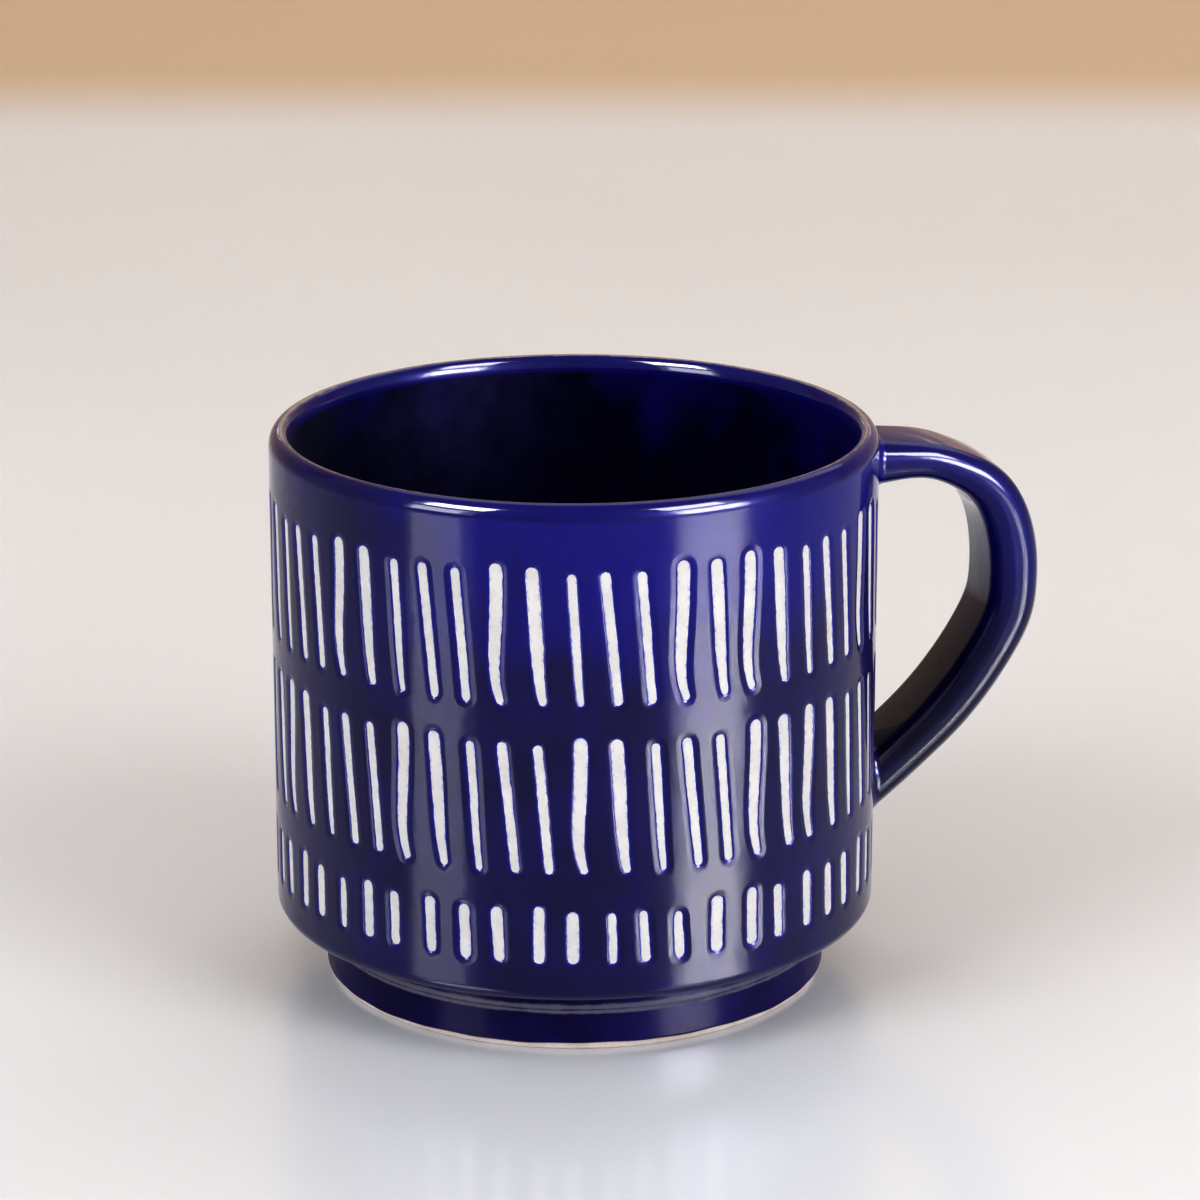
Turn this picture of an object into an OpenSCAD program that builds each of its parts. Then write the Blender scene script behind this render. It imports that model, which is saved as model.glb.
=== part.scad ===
// Stacking mug: a stoneware cup with a strap handle luted on, glazed in stretches,
// with three rows of white strokes inlaid in the outside glaze.
// Origin: centre of the base on the table. +Z up, +X towards the handle. Millimetres.

/* [Cup] */
// Height from the table to the crest of the lip
mug_h = 82; // [81:1:88]
// Radius over the glazed wall
wall_r = 44; // [43:0.5:46]
// Thickness of the glazed wall
wall_t = 3.2; // [3:0.1:3.6]
// Radius of the lip's inner corner
lip_round = 0.9; // [0.8:0.1:1]
// Radius of the lip's outer corner
lip_outer_round = 2; // [1.4:0.1:2.2]
// Height of the inside floor
floor_z = 9; // [8.5:0.5:10]
// Radius in which the inside wall turns into the floor
floor_round = 16; // [15:1:18]
// Radius of the wall's bottom corner
corner_round = 2; // [1.6:0.1:2.4]

/* [Foot] */
// Radius over the glazed foot, which seats in the mouth of a mug below
foot_r = 36.8; // [36:0.1:37.4]
// Height of the ledge where the wall steps in to the foot
ledge_z = 10; // [9.6:0.1:10.4]
// Radial thickness of the glazed foot
foot_t = 4.4; // [4:0.1:5]
// Depth of the hollow under the base
recess_h = 4; // [3:0.5:4.5]
// Radius in the corner of that hollow
recess_round = 2; // [1:0.5:2.5]
// Height of the clay left bare round the bottom of the foot
bare_h = 1; // [0.8:0.1:1.4]
// Radius on the bottom edges of the foot
foot_edge = 0.5; // [0.3:0.1:0.6]

/* [Glaze] */
// Thickness of every glaze
glaze_t = 0.6; // [0.5:0.05:0.7]
// Height of the band at the lip where the glaze runs thin
lip_band = 2.4; // [2:0.1:3]

/* [Handle] */
// Width of the strap
strap_w = 15; // [13:0.5:17]
// Thickness of the strap
strap_t = 6.2; // [6:0.2:7]
// Radius on the strap's four edges
strap_round = 2.8; // [2:0.1:2.9]
// Height of the strap's middle where it leaves the top of the wall
handle_top = 74.2; // [73:0.2:74.6]
// Distance from the mug's axis to the middle of the strap at its furthest
handle_reach = 66; // [65:0.5:68]
// Radius of the upper bend, along the middle of the strap
upper_bend = 14; // [13:0.5:15]
// Length of the upright stretch between the bends
upright = 3.2; // [2:0.2:4]
// Radius of the lower bend, along the middle of the strap
lower_bend = 26; // [25:0.5:27]
// How far the slip stands out round each end of the strap
slip = 1.2; // [0.8:0.1:1.6]

/* [Strokes] */
// Thickness of the white inlay, which sits below the glaze's surface
inlay_t = 0.3; // [0.2:0.05:0.4]
// Number of strokes round each of the two upper rows, the handle's gap included
long_count = 53; // [45:1:54]
// Number of strokes round the lower row, the handle's gap included
short_count = 52; // [45:1:54]
// Angle each side of the handle that is left plain
handle_gap = 12; // [11:1:20]
// Bottom and top of the upper row
upper_row = [53.6, 73]; // [50:0.2:76]
// Bottom and top of the middle row
middle_row = [29.2, 48.4]; // [28:0.2:50]
// Bottom and height of the lower row
lower_row = [15.9, 8]; // [6:0.1:18]

/* [Hidden] */
$fn = 64;

clay = "antiquewhite";
cobalt = "midnightblue";
dark_cobalt = "navy";
tan_break = "dimgray";
white_slip = "ivory";

past = 10;                                  // how far cutting shapes run past what they cut
clay_r = wall_r - glaze_t;                  // outside of the clay wall
lip_z = mug_h - lip_band;                   // where the lip's band begins
recess_r = foot_r - foot_t;                 // inside of the foot ring
bend_x = handle_reach - upper_bend;         // middle of the upper bend
upper_z = handle_top - upper_bend;
lower_x = handle_reach - lower_bend;        // middle of the lower bend
lower_z = upper_z - upright;
fall = 45;                                  // the strap's slope down to the wall, in degrees

// A stroke's angle off its even place, its lean to the left at the top, the bow in its lower half, its
// width at the top and at the bottom, and how far its top stands above the row's. Long strokes come in
// five kinds, in turn.
long_kinds = [
    [0.0, 0.4, 0.65, 1.8, 1.1, 0.7],
    [0.4, 1.4, 0.25, 1.8, 1.1, 0.4],
    [0.6, 1.2, 0.10, 1.2, 0.8, -0.5],
    [0.2, 1.8, 0.00, 1.4, 1.2, -0.2],
    [-0.2, 1.5, 0.00, 1.3, 1.2, -0.4]
];
// The turn is broken off and started again after this many strokes
long_turn = 17;
// The same for the short strokes, with the height of the top in place of the bow
short_kinds = [
    [0.0, 0.1, 0.5, 1.6, 1.6],
    [-0.6, 0.2, -0.1, 1.5, 1.4],
    [0.3, 0.2, 0.4, 1.6, 1.4],
    [0.3, 0.2, 0.0, 1.5, 1.6],
    [-0.3, 0.3, 0.1, 1.7, 1.5],
    [0.4, 0.0, 0.5, 1.5, 1.5],
    [-0.3, 0.1, -0.2, 1.6, 1.6],
    [0.0, 0.2, -0.5, 1.1, 1.1],
    [-1.0, 0.4, -0.4, 1.2, 1.3],
    [-1.4, 0.3, -1.0, 1.2, 1.4],
    [-0.7, 0.0, 0.4, 1.8, 1.8]
];
// How far a bow of 1 would swing a stroke sideways, if it didn't fade out again at the bottom
bow_swing = 9.5;
// Where each row's first stroke stands, round from the handle
upper_start = 174.6;
middle_start = 189.8;
lower_start = 214.8;
// Stretches in each side of a bowed stroke; a stroke without bow has straight sides
bow_steps = 5;

// ---- Half-profiles of the cup, turned about Z. inset is how far below the glazed surface. ----

// Solid outline of the wall block and the foot, as if the cup were full
module full_profile(inset) {
    r = wall_r - inset;
    top = mug_h - inset;
    low = ledge_z + inset;
    lip = lip_outer_round - inset;
    corner = corner_round - inset;
    translate([0, low + corner]) square([r, top - lip - low - corner]);
    translate([0, low]) square([r - corner, corner + 1]);
    translate([r - corner, low + corner]) circle(corner);
    translate([0, top - lip - 1]) square([r - lip, lip + 1]);
    translate([r - lip, top - lip]) circle(lip);
    foot_profile(inset);
}

module foot_profile(inset) {
    r = foot_r - inset;
    translate([0, foot_edge]) square([r, ledge_z + 1]);
    square([r - foot_edge, ledge_z]);
    translate([r - foot_edge, foot_edge]) circle(foot_edge);
}

// The hollow of the cup, with the lip's inner corner rounded over
module cavity_profile(inset) {
    r = wall_r - wall_t + inset;
    low = floor_z - inset;
    turn = floor_round + inset;
    lip = lip_round - inset;
    top = mug_h - inset;
    translate([0, low + turn]) square([r, mug_h - low]);
    translate([0, low]) square([r - turn, turn + 1]);
    translate([r - turn, low + turn]) circle(turn);
    difference() {
        translate([r - 1, top - lip]) square([1 + lip, lip + past]);
        translate([r + lip, top - lip]) circle(lip);
    }
}

// The hollow under the base
module recess_profile(inset) {
    r = recess_r + inset;
    top = recess_h + inset;
    turn = recess_round + inset;
    translate([0, -1]) square([r, 1 + top - turn]);
    square([r - turn, top]);
    translate([r - turn, top - turn]) circle(turn);
    // the ring's inner edge, rounded like its outer one
    difference() {
        translate([r - 1, -1]) square([1 + foot_edge, 1 + foot_edge]);
        translate([r + foot_edge, foot_edge]) circle(foot_edge);
    }
}

// The cup's wall, floor and foot in section
module cup_profile(inset) {
    difference() {
        full_profile(inset);
        cavity_profile(inset);
        recess_profile(inset);
    }
}

// The layer of glaze within the given stretch of the section
module glaze_ring(low_r, high_r, low_z, high_z) {
    rotate_extrude() intersection() {
        difference() {
            cup_profile(0);
            cup_profile(glaze_t);
        }
        translate([low_r, low_z]) square([high_r - low_r, high_z - low_z]);
    }
}

// ---- Handle ----

// Rounded section of the strap, thickness along X and width along Y, grown all round
module strap_section(grow) {
    t = strap_t / 2 + grow;
    w = strap_w / 2 + grow;
    r = strap_round + grow;
    square([2 * t, 2 * (w - r)], center = true);
    square([2 * (t - r), 2 * w], center = true);
    for (x = [-1, 1], y = [-1, 1]) translate([x * (t - r), y * (w - r)]) circle(r);
}

// Level stretch from inside the wall out to the upper bend
module strap_top(grow) {
    translate([bend_x, 0, handle_top]) rotate([0, -90, 0])
        linear_extrude(bend_x - clay_r + past) strap_section(grow);
}

// Slope from the lower bend down into the wall
module strap_bottom(grow) {
    length = (lower_x + lower_bend * cos(fall) - clay_r + past) / sin(fall);
    translate([lower_x, 0, lower_z]) rotate([0, fall, 0])
        translate([lower_bend, 0, -length]) linear_extrude(length) strap_section(grow);
}

// The strap's whole course, before it is cut off at the wall
module strap(grow) {
    strap_top(grow);
    translate([bend_x, 0, upper_z]) rotate([90, 0, 0])
        rotate_extrude(angle = 90) translate([upper_bend, 0]) strap_section(grow);
    translate([handle_reach, 0, lower_z]) linear_extrude(upright) strap_section(grow);
    translate([lower_x, 0, lower_z]) rotate([90, 0, 0]) rotate([0, 0, -fall])
        rotate_extrude(angle = fall) translate([lower_bend, 0]) strap_section(grow);
    strap_bottom(grow);
}

// A collar of slip where an end of the strap (the child grown by slip) meets the clay wall
module slip_collar() {
    difference() {
        intersection() {
            children(0);
            difference() {
                cylinder(h = mug_h, r = wall_r + slip);
                cylinder(h = mug_h, r = clay_r);
            }
            translate([0, -strap_w, 0]) cube([wall_r + past, 2 * strap_w, mug_h]);
        }
        children(1);
    }
}

// ---- Strokes ----

// Sideways place of a stroke's middle, s running from 0 at its top to 1 at its bottom
function middle_x(kind, s) = -kind[1] * (0.5 - s) - kind[2] * bow_swing * pow(s, 3) * (1 - s);
function half_w(kind, s) = (kind[3] + (kind[4] - kind[3]) * pow(s, 3)) / 2;

// Outline of a long stroke, X to the right and Y up
module long_outline(kind, row) {
    top = row[1] + kind[5] - kind[3] / 2;
    low = row[0] + kind[4] / 2;
    count = kind[2] == 0 ? 1 : bow_steps;
    steps = [for (i = [0:count]) i / count];
    left = [for (s = steps) [middle_x(kind, s) - half_w(kind, s), top + (low - top) * s]];
    right = [for (s = steps) [middle_x(kind, 1 - s) + half_w(kind, 1 - s), low + (top - low) * s]];
    polygon(concat(left, right));
    translate([middle_x(kind, 0), top]) circle(kind[3] / 2);
    translate([middle_x(kind, 1), low]) circle(kind[4] / 2);
}

// Outline of a short stroke: straight sides and round ends
module short_outline(kind) {
    top = lower_row[0] + lower_row[1] + kind[2] - kind[3] / 2;
    low = lower_row[0] + kind[4] / 2;
    x = kind[1] / 2;
    polygon([
        [-x - kind[3] / 2, top], [x - kind[4] / 2, low],
        [x + kind[4] / 2, low], [-x + kind[3] / 2, top]
    ]);
    translate([-x, top]) circle(kind[3] / 2);
    translate([x, low]) circle(kind[4] / 2);
}

// Cuts an outline through the outside glaze at an angle round from the handle
module on_wall(angle) {
    rotate([0, 0, angle]) translate([clay_r - 1, 0, 0]) rotate([90, 0, 90])
        linear_extrude(glaze_t + 2) children();
}

function off_handle(angle) = abs((angle + 180) % 360 - 180) > handle_gap;

module long_strokes(start, row) {
    for (i = [0:long_count - 1]) {
        kind = long_kinds[i % long_turn % len(long_kinds)];
        angle = start + i * 360 / long_count + kind[0];
        if (off_handle(angle)) on_wall(angle) long_outline(kind, row);
    }
}

module short_strokes() {
    for (i = [0:short_count - 1]) {
        kind = short_kinds[i % len(short_kinds)];
        angle = lower_start + i * 360 / short_count + kind[0];
        if (off_handle(angle)) on_wall(angle) short_outline(kind);
    }
}

// The white inlay: the part of the strokes just above the clay
module inlay(row_z, row_h) {
    intersection() {
        children();
        translate([0, 0, row_z]) difference() {
            cylinder(h = row_h, r = clay_r + inlay_t);
            translate([0, 0, -1]) cylinder(h = row_h + 2, r = clay_r);
        }
    }
}

// ---- The pieces ----

module cup_body() {
    color(clay) rotate_extrude() cup_profile(glaze_t);
}

module handle() {
    color(clay) difference() {
        strap(-glaze_t);
        cylinder(h = mug_h, r = clay_r);
    }
}

module upper_handle_joint() {
    color(cobalt) slip_collar() {
        strap_top(slip);
        strap_top(0);
    }
}

module lower_handle_joint() {
    color(cobalt) slip_collar() {
        strap_bottom(slip);
        strap_bottom(0);
    }
}

module inside_glaze() {
    color(dark_cobalt) rotate_extrude() difference() {
        intersection() {
            cavity_profile(glaze_t);
            square([wall_r, lip_z]);
        }
        cavity_profile(0);
    }
}

module outside_glaze() {
    color(cobalt) difference() {
        glaze_ring(wall_r - corner_round, wall_r, ledge_z, lip_z);
        strap_top(slip);
        strap_bottom(slip);
        long_strokes(upper_start, upper_row);
        long_strokes(middle_start, middle_row);
        short_strokes();
    }
}

module lip_glaze() {
    color(tan_break) glaze_ring(wall_r - wall_t - 1, wall_r, lip_z, mug_h);
}

module foot_glaze() {
    color(cobalt) glaze_ring(foot_r - 1, wall_r - corner_round, bare_h, ledge_z + glaze_t);
}

module base_glaze() {
    color(cobalt) glaze_ring(0, recess_r + glaze_t, bare_h, recess_h + glaze_t);
}

module handle_glaze() {
    color(cobalt) difference() {
        strap(0);
        strap(-glaze_t);
        cylinder(h = mug_h, r = clay_r);
    }
}

module upper_strokes() {
    color(white_slip) inlay(upper_row[0] - 1, upper_row[1] - upper_row[0] + 2)
        long_strokes(upper_start, upper_row);
}

module middle_strokes() {
    color(white_slip) inlay(middle_row[0] - 1, middle_row[1] - middle_row[0] + 2)
        long_strokes(middle_start, middle_row);
}

module lower_strokes() {
    color(white_slip) inlay(lower_row[0] - 1, lower_row[1] + 3) short_strokes();
}

cup_body();
handle();
upper_handle_joint();
lower_handle_joint();
inside_glaze();
outside_glaze();
lip_glaze();
foot_glaze();
base_glaze();
handle_glaze();
upper_strokes();
middle_strokes();
lower_strokes();
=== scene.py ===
import math

import bpy
import numpy as np
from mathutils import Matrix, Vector
from mathutils.geometry import delaunay_2d_cdt


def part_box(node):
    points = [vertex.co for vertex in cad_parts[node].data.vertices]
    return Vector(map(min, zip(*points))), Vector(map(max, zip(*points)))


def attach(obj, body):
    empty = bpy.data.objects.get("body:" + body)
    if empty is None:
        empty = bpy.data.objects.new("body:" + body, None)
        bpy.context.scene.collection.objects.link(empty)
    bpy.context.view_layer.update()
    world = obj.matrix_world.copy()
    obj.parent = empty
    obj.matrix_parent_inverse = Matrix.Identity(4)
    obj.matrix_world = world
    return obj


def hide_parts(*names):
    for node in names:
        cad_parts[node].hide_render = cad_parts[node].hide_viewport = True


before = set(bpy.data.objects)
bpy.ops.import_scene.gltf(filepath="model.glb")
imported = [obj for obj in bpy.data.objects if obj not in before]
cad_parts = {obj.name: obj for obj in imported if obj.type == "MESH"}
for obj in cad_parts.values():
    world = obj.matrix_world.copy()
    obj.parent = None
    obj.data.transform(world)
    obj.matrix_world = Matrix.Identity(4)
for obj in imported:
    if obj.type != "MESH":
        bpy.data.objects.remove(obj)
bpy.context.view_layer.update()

# A stoneware mug. The frame is in metres. Lengths in this script are in millimetres, like the part's source,
# and MM takes them to metres; only shaders, table, lights and camera use metres. Z is up, and the handle
# points along +X.
MM = 0.001
TINY = 1e-9                     # a length that counts as none


def span(node, axis):
    """Where a node begins and ends along an axis."""
    low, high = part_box(node)
    return low[axis] / MM, high[axis] / MM


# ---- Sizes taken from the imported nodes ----
WALL_R = span("outside_glaze", 1)[1]
LEDGE_Z = span("outside_glaze", 2)[0]
LIP_Z, MUG_H = span("lip_glaze", 2)
BARE_H = span("foot_glaze", 2)[0]
INLAY_R = span("upper_strokes", 1)[1]

# ---- The same sizes as the part's source ----
GLAZE_T = 0.6                   # thickness of every glaze
WALL_T = 3.2                    # the wall with both its glazes
CORNER = 2.0                    # rounding of the wall's bottom corner
FLOOR_Z = 9.0                   # height of the inside floor, and its rounding into the wall
FLOOR_ROUND = 16.0
FOOT_R = 36.8                   # outside of the foot, the ring's width and the rounding of its edges
FOOT_T = 4.4
FOOT_EDGE = 0.5
RECESS_H = 4.0                  # height of the hollow under the base, and its rounding
RECESS_ROUND = 2.0
CLAY_R = WALL_R - GLAZE_T
INNER_R = WALL_R - WALL_T
RECESS_R = FOOT_R - FOOT_T
TURN = 240                      # divisions round every turned piece


# ---------------------------------------------------------------- mesh tools

class Build:
    """Vertices, faces, a normal for each face corner and one number for each vertex."""

    def __init__(self):
        self.verts, self.faces, self.normals, self.thin, self.count = [], [], [], [], 0

    def add(self, points, thin=0.0):
        """Adds vertices and returns their numbers."""
        points = np.asarray(points, float).reshape(-1, 3)
        start = self.count
        self.verts.append(points)
        self.thin.append(np.broadcast_to(np.asarray(thin, float), (len(points),)).copy())
        self.count += len(points)
        return start + np.arange(len(points))

    def face(self, corners, normals):
        """corners is (n, 3) or (n, 4) vertex numbers, and normals has a vector for each."""
        self.faces.append(np.asarray(corners, int))
        self.normals.append(np.asarray(normals, float))

    def strip(self, a, b, na, nb, closed=True):
        """Quads between two rows of vertices with their normals. A closed row comes back to its start."""
        if closed:
            a, b, na, nb = (np.concatenate([row, row[:1]]) for row in (a, b, na, nb))
        self.face(np.stack([a[:-1], a[1:], b[1:], b[:-1]], 1),
                  np.stack([na[:-1], na[1:], nb[1:], nb[:-1]], 1))

    def fan(self, centre, row, centre_normals, row_normals):
        """Triangles from one vertex to an open row of others."""
        centres = np.full(len(row) - 1, centre)
        self.face(np.stack([centres, row[:-1], row[1:]], 1),
                  np.stack([centre_normals[:-1], row_normals[:-1], row_normals[1:]], 1))


def to_object(build, name, materials, nodes):
    """Makes the piece: faces turned the way their normals point, smooth, riding on the one body."""
    verts = np.concatenate(build.verts)
    faces, normals = [], []
    for block, given in zip(build.faces, build.normals):
        p = verts[block]
        flat = np.cross(p[:, 1] - p[:, 0], p[:, -1] - p[:, 0])
        if block.shape[1] == 4:
            # a quad whose first side has no length is judged by its diagonals
            size = np.linalg.norm(flat, axis=1, keepdims=True)
            flat = np.where(size > TINY, flat, np.cross(p[:, 2] - p[:, 0], p[:, 3] - p[:, 1]))
        inward = (flat * given.sum(1)).sum(1) < 0
        block[inward] = block[inward][:, ::-1]
        given[inward] = given[inward][:, ::-1]
        faces.extend(block.tolist())
        normals.append(given.reshape(-1, 3))
    normals = np.concatenate(normals)
    normals /= np.linalg.norm(normals, axis=1, keepdims=True)
    mesh = bpy.data.meshes.new(name)
    mesh.from_pydata((verts * MM).tolist(), [], faces)
    attribute = mesh.attributes.new("thin", "FLOAT", "POINT")
    attribute.data.foreach_set("value", np.concatenate(build.thin).astype(np.float32))
    mesh.shade_smooth()
    mesh.normals_split_custom_set(normals.tolist())
    for m in materials:
        mesh.materials.append(m)
    obj = bpy.data.objects.new(name, mesh)
    bpy.context.scene.collection.objects.link(obj)
    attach(obj, "root")
    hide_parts(*nodes)
    return obj


def arc(cx, cz, rx, rz, start, end, steps):
    """Points (r, z, normal r, normal z) on an ellipse's arc, angles in degrees from +R towards +Z."""
    out = []
    for t in np.radians(np.linspace(start, end, steps + 1)):
        c, s = math.cos(t), math.sin(t)
        n = np.array([c / rx, s / rz])
        n /= np.linalg.norm(n)
        out.append((cx + rx * c, cz + rz * s, n[0], n[1]))
    return out


def hollow(points):
    """The same arc seen from inside."""
    return [(r, z, -nr, -nz) for r, z, nr, nz in points]


def line(r0, z0, r1, z1, nr, nz, steps=1):
    """The same for a straight run, all of it facing (nr, nz)."""
    size = math.hypot(nr, nz)
    return [
        (r0 + (r1 - r0) * t, z0 + (z1 - z0) * t, nr / size, nz / size)
        for t in np.linspace(0, 1, steps + 1)
    ]


def turned(name, paths, materials, nodes, shift=None, thin=None):
    """A solid of revolution. paths are runs of arcs and lines, each starting where the last one ended.
    shift(r, z, angle) may move a point, and thin(r, z, angle) is the number at a vertex."""
    build = Build()
    angles = np.arange(TURN) * 2 * math.pi / TURN
    cos, sin = np.cos(angles), np.sin(angles)

    def ring(r, z):
        if r < TINY:
            return build.add([(0, 0, z)])
        rr, zz = np.full(TURN, float(r)), np.full(TURN, float(z))
        if shift:
            rr, zz = shift(rr, zz, angles)
        t = thin(rr, zz, angles) if thin else 0.0
        return build.add(np.stack([rr * cos, rr * sin, zz], 1), t)

    def turn_normal(n):
        return np.stack([n[0] * cos, n[0] * sin, np.full(TURN, n[1])], 1)

    first = last = ring(*paths[0][0][:2])
    where = start = np.array(paths[0][0][:2])
    for path in paths:
        for (r0, z0, *n0), (r1, z1, *n1) in zip(path[:-1], path[1:]):
            here = np.array([r1, z1])
            if np.allclose(here, where):
                continue
            new = first if np.allclose(here, start) else ring(r1, z1)
            na, nb = turn_normal(n0), turn_normal(n1)
            if len(last) > 1 and len(new) > 1:
                build.strip(last, new, na, nb)
            elif len(last) > 1 or len(new) > 1:         # along the axis there is no face
                pole, rim, facing = (last[0], new, nb) if len(new) > 1 else (new[0], last, na)
                upright = np.tile([0, 0, np.sign(facing[0][2])], (TURN + 1, 1))
                build.fan(pole, np.append(rim, rim[0]), upright, np.concatenate([facing, facing[:1]]))
            last, where = new, here
    return to_object(build, name, materials, nodes)


# ---------------------------------------------------------------- materials

def material(name):
    """A new material with its node tree and its Principled shader."""
    m = bpy.data.materials.new(name)
    m.use_nodes = True
    tree = m.node_tree
    tree.nodes.clear()
    shader = tree.nodes.new("ShaderNodeBsdfPrincipled")
    out = tree.nodes.new("ShaderNodeOutputMaterial")
    tree.links.new(shader.outputs[0], out.inputs[0])
    return m, tree, shader


def noise(tree, scale, detail=3.0, rough=0.55):
    """Noise between 0 and 1 in the object's own metres."""
    coords = tree.nodes.new("ShaderNodeTexCoord")
    node = tree.nodes.new("ShaderNodeTexNoise")
    node.inputs["Scale"].default_value = scale
    node.inputs["Detail"].default_value = detail
    node.inputs["Roughness"].default_value = rough
    tree.links.new(coords.outputs["Object"], node.inputs["Vector"])
    return node.outputs["Fac"]


def ramp(tree, value, low, high, out_low=0.0, out_high=1.0):
    """A smooth step from out_low to out_high while the value goes from low to high."""
    node = tree.nodes.new("ShaderNodeMapRange")
    node.interpolation_type = "SMOOTHSTEP"
    for key, v in (("From Min", low), ("From Max", high), ("To Min", out_low), ("To Max", out_high)):
        node.inputs[key].default_value = v
    tree.links.new(value, node.inputs["Value"])
    return node.outputs["Result"]


def drift(tree, scale, low, high, detail=3.0, rough=0.55, reach=0.2):
    """Noise that wanders from low to high; the smaller its reach, the sharper its patches."""
    return ramp(tree, noise(tree, scale, detail, rough), 0.5 - reach, 0.5 + reach, low, high)


def place(tree, turn=0.0):
    """The point's own x, y and z, in metres, turned about the vertical."""
    coords = tree.nodes.new("ShaderNodeTexCoord")
    mapping = tree.nodes.new("ShaderNodeMapping")
    mapping.inputs["Rotation"].default_value = (0, 0, turn)
    tree.links.new(coords.outputs["Object"], mapping.inputs["Vector"])
    part = tree.nodes.new("ShaderNodeSeparateXYZ")
    tree.links.new(mapping.outputs["Vector"], part.inputs[0])
    return part.outputs


def mix(tree, factor, a, b):
    """From colour a to colour b as the factor goes from 0 to 1. Each is a tuple or a socket."""
    node = tree.nodes.new("ShaderNodeMix")
    node.data_type = "RGBA"
    tree.links.new(factor, node.inputs["Factor"])
    for key, v in (("A", a), ("B", b)):
        socket = [s for s in node.inputs if s.name == key and s.type == "RGBA"][0]
        if isinstance(v, tuple):
            socket.default_value = (*v, 1.0)
        else:
            tree.links.new(v, socket)
    return [s for s in node.outputs if s.type == "RGBA"][0]


def maths(tree, operation, a, b):
    """An operation on two numbers or sockets."""
    node = tree.nodes.new("ShaderNodeMath")
    node.operation = operation
    for i, v in enumerate((a, b)):
        if isinstance(v, (int, float)):
            node.inputs[i].default_value = v
        else:
            tree.links.new(v, node.inputs[i])
    return node.outputs[0]


def bump(tree, height, strength, distance, after=None):
    """A bumped normal; after is a normal that it adds to."""
    node = tree.nodes.new("ShaderNodeBump")
    node.inputs["Strength"].default_value = strength
    node.inputs["Distance"].default_value = distance
    tree.links.new(height, node.inputs["Height"])
    if after:
        tree.links.new(after, node.inputs["Normal"])
    return node.outputs["Normal"]


def thinness(tree):
    """The number that the mesh tools gave each vertex."""
    node = tree.nodes.new("ShaderNodeAttribute")
    node.attribute_name = "thin"
    return node.outputs["Fac"]


DEEP = (0.006, 0.002, 0.078)    # the cobalt, its darker patches, its upper part (paler as a painted glow of light, partly thinner glaze near the lip) and its thin places
DARK = (0.004, 0.001, 0.046)
TOP_GLOW = (0.006, 0.003, 0.180)
BRIGHT = (0.004, 0.006, 0.220)
GLOW_LEAN = 0.28                     # how much the paler upper part comes down towards the handle, the side where the light falls: painted light
DUST = 0.3                      # how much rougher the glaze is where dust lies thickest


def glaze(name, thin_colour=BRIGHT, deep=DEEP, dark=DARK, top=TOP_GLOW, rise=(0.054, 0.082), break_at=(0.15, 0.9),
          dusty=False):
    """Cobalt glaze: a hard clear gloss over a soft depth. The depth is mottled and specked. It turns to the
    top colour over the heights of rise, in metres, and more so towards the handle's side: a painted glow of
    light, partly thinner glaze near the lip. It turns to the thin colour as the thinness goes through
    break_at."""
    m, tree, shader = material(name)
    colour = mix(tree, drift(tree, 90, 0, 1, 4, 0.6, reach=0.15), dark, deep)
    here = place(tree)
    # painted glow: paler higher up and towards the handle's side, where the light falls; partly thinner glaze
    # near the lip
    high = maths(tree, "ADD", here["Z"], drift(tree, 60, -0.006, 0.006))
    high = maths(tree, "ADD", high, maths(tree, "MULTIPLY", here["X"], GLOW_LEAN))
    high = maths(tree, "ADD", high, drift(tree, 28, -0.006, 0.006, 3, 0.6, reach=0.15))
    colour = mix(tree, ramp(tree, high, *rise), colour, top)
    speck = ramp(tree, noise(tree, 1500, 2, 0.5), 0.62, 0.75, 0.0, 0.35)
    colour = mix(tree, speck, colour, tuple(0.4 * c for c in dark))
    thin = maths(tree, "ADD", thinness(tree), drift(tree, 500, -0.12, 0.12, 3, 0.6))
    colour = mix(tree, ramp(tree, thin, *break_at), colour, thin_colour)
    tree.links.new(colour, shader.inputs["Base Color"])
    rough = drift(tree, 220, 0.34, 0.46, 3, 0.6)
    if dusty:
        rough = maths(tree, "ADD", rough, ramp(tree, thin, *break_at, 0.0, DUST))
    tree.links.new(rough, shader.inputs["Roughness"])
    shader.inputs["IOR"].default_value = 1.5
    shader.inputs["Specular IOR Level"].default_value = 0.04
    shader.inputs["Specular Tint"].default_value = (0.2, 0.2, 1.0, 1.0)
    shader.inputs["Coat Weight"].default_value = 0.3 if dusty else 1.0
    shader.inputs["Coat Roughness"].default_value = 0.16 if dusty else 0.07
    shader.inputs["Coat IOR"].default_value = 1.36
    peel = bump(tree, noise(tree, 190, 2, 0.5), 0.25, 0.0002)
    normal = bump(tree, noise(tree, 900, 2, 0.5), 0.12, 0.00003, peel)
    tree.links.new(normal, shader.inputs["Normal"])
    tree.links.new(normal, shader.inputs["Coat Normal"])
    return m


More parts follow.
